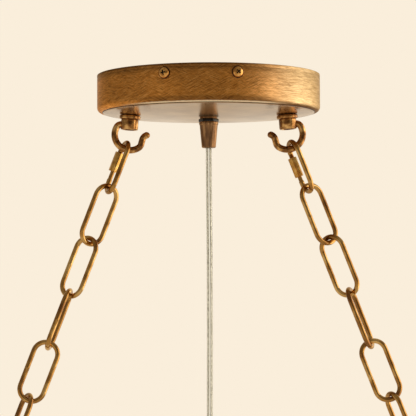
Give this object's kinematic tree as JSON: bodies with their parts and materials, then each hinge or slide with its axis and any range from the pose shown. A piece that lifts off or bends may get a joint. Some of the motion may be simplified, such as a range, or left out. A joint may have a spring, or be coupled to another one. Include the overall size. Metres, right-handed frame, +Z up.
{
  "type": "rectangular chandelier",
  "caption": "Linear chandelier: an open rectangular cage with candle lights, hung by two spreading chains from a round ceiling canopy.",
  "frame": {"origin": "centre of the round canopy in the ceiling plane, at the top of the mounting bracket", "axes": "+Z up into the ceiling, +X along the rectangular frame, picture taken along +Y"},
  "size_m": [0.9, 0.26, 0.8225],
  "materials": {
    "antique_gold": "hand brushed antique gold lacquer",
    "antique_gold_chain": "antique gold lacquer on steel wire",
    "zinc_steel": "zinc plated steel",
    "green_screw": "green passivated screw",
    "black_steel": "black lacquered hex nut",
    "ceramic": "glazed porcelain",
    "clear_pvc": "clear soft PVC over tinned copper",
    "candle_white": "ivory candle sleeve",
    "bulb_glass": "clear lamp glass",
    "nickel": "nickel plated screw base",
    "filament": "yellow phosphor rods on a glass post"
  },
  "bodies": {
    "canopy": {"mounting_bracket": "zinc_steel", "earth_screw": "green_screw", "canopy_pan": "antique_gold", "side_screws": "antique_gold", "terminal_block": "ceramic", "cord_end": "clear_pvc", "grip_nipple": "zinc_steel", "grip_lock_nut": "zinc_steel", "grip_hex_nut": "black_steel", "cord_grip": "antique_gold", "hook_nipples": "zinc_steel", "hook_lock_nuts": "zinc_steel", "hub_rings": "antique_gold"},
    "hook_left": {"hook_left": "antique_gold_chain"},
    "hook_right": {"hook_right": "antique_gold_chain"},
    "quick_link_left": {"quick_link_left": "antique_gold_chain"},
    "sleeve_nut_left": {"sleeve_nut_left": "antique_gold_chain"},
    "quick_link_right": {"quick_link_right": "antique_gold_chain"},
    "sleeve_nut_right": {"sleeve_nut_right": "antique_gold_chain"},
    "chain_left": {"link_left_1": "antique_gold_chain", "link_left_2": "antique_gold_chain", "link_left_3": "antique_gold_chain", "link_left_4": "antique_gold_chain", "link_left_5": "antique_gold_chain", "link_left_6": "antique_gold_chain", "links_left_middle": "antique_gold_chain", "links_left_lower": "antique_gold_chain", "links_left_last": "antique_gold_chain", "low_quick_link_left": "antique_gold_chain"},
    "low_sleeve_nut_left": {"low_sleeve_nut_left": "antique_gold_chain"},
    "chain_right": {"link_right_1": "antique_gold_chain", "link_right_2": "antique_gold_chain", "link_right_3": "antique_gold_chain", "link_right_4": "antique_gold_chain", "link_right_5": "antique_gold_chain", "link_right_6": "antique_gold_chain", "links_right_middle": "antique_gold_chain", "links_right_lower": "antique_gold_chain", "links_right_last": "antique_gold_chain", "low_quick_link_right": "antique_gold_chain"},
    "low_sleeve_nut_right": {"low_sleeve_nut_right": "antique_gold_chain"},
    "cord": {"cord": "clear_pvc"},
    "frame": {"eye_bolts": "antique_gold_chain", "eye_nuts": "antique_gold_chain", "spine": "antique_gold", "long_rails": "antique_gold", "end_rails": "antique_gold", "corner_posts": "antique_gold", "low_cord_grip": "antique_gold", "light_stem": "antique_gold", "light_bar": "antique_gold", "drip_pans": "antique_gold", "sockets": "ceramic", "candle_sleeves": "candle_white", "bulb_bases": "nickel", "bulb_glass": "bulb_glass", "bulb_filaments": "filament"}
  },
  "joints": [
    {"name": "hook_swivel_left", "type": "hinge", "parent": "canopy", "child": "hook_left", "pos_m": [-0.0528, 0, -0.02662], "axis": [-0.0711, 0, -0.9975], "range_deg": [-10, 10]},
    {"name": "hook_swivel_right", "type": "hinge", "parent": "canopy", "child": "hook_right", "pos_m": [0.0528, 0, -0.02662], "axis": [0.0711, 0, -0.9975], "range_deg": [-10, 10]},
    {"name": "fore_aft_swing", "type": "hinge", "parent": "canopy", "child": "quick_link_left", "pos_m": [-0.05569, 0, -0.04718], "axis": [1, 0, 0], "range_deg": [-8, 8]},
    {"name": "fore_aft_follow", "type": "hinge", "parent": "canopy", "child": "quick_link_right", "pos_m": [0.05569, 0, -0.04718], "axis": [1, 0, 0], "range_deg": [-8.2, 8.2]},
    {"name": "side_sway", "type": "hinge", "parent": "quick_link_left", "child": "chain_left", "pos_m": [-0.06701, 0, -0.07636], "axis": [0, 1, 0], "range_deg": [-4.5, 4.5]},
    {"name": "frame_follow", "type": "hinge", "parent": "chain_left", "child": "frame", "pos_m": [-0.24106, 0, -0.52509], "axis": [0, 1, 0], "range_deg": [-1.4, 1.4]},
    {"name": "right_chain_follow", "type": "hinge", "parent": "frame", "child": "chain_right", "pos_m": [0.24106, 0, -0.52509], "axis": [0, 1, 0], "range_deg": [-1.4, 1.4]},
    {"name": "cord_follow", "type": "hinge", "parent": "quick_link_left", "child": "cord", "pos_m": [0, 0, -0.0495], "axis": [0, 1, 0], "range_deg": [-4.6, 4.6]},
    {"name": "sleeve_nut_left_slide", "type": "slide", "parent": "quick_link_left", "child": "sleeve_nut_left", "axis": [-0.3616, 0, -0.9323], "range_m": [0, 0.006]},
    {"name": "sleeve_nut_right_slide", "type": "slide", "parent": "quick_link_right", "child": "sleeve_nut_right", "axis": [0.3616, 0, -0.9323], "range_m": [-0.002, 0.004]},
    {"name": "low_sleeve_nut_left_slide", "type": "slide", "parent": "chain_left", "child": "low_sleeve_nut_left", "axis": [-0.3616, 0, -0.9323], "range_m": [0, 0.006]},
    {"name": "low_sleeve_nut_right_slide", "type": "slide", "parent": "chain_right", "child": "low_sleeve_nut_right", "axis": [0.3616, 0, -0.9323], "range_m": [0, 0.006]}
  ],
  "couplings": [
    {"joint": "fore_aft_follow", "follows": "fore_aft_swing", "ratio": 1},
    {"joint": "frame_follow", "follows": "side_sway", "ratio": -0.27799},
    {"joint": "right_chain_follow", "follows": "side_sway", "ratio": 0.27799},
    {"joint": "cord_follow", "follows": "side_sway", "ratio": 0.94264}
  ]
}
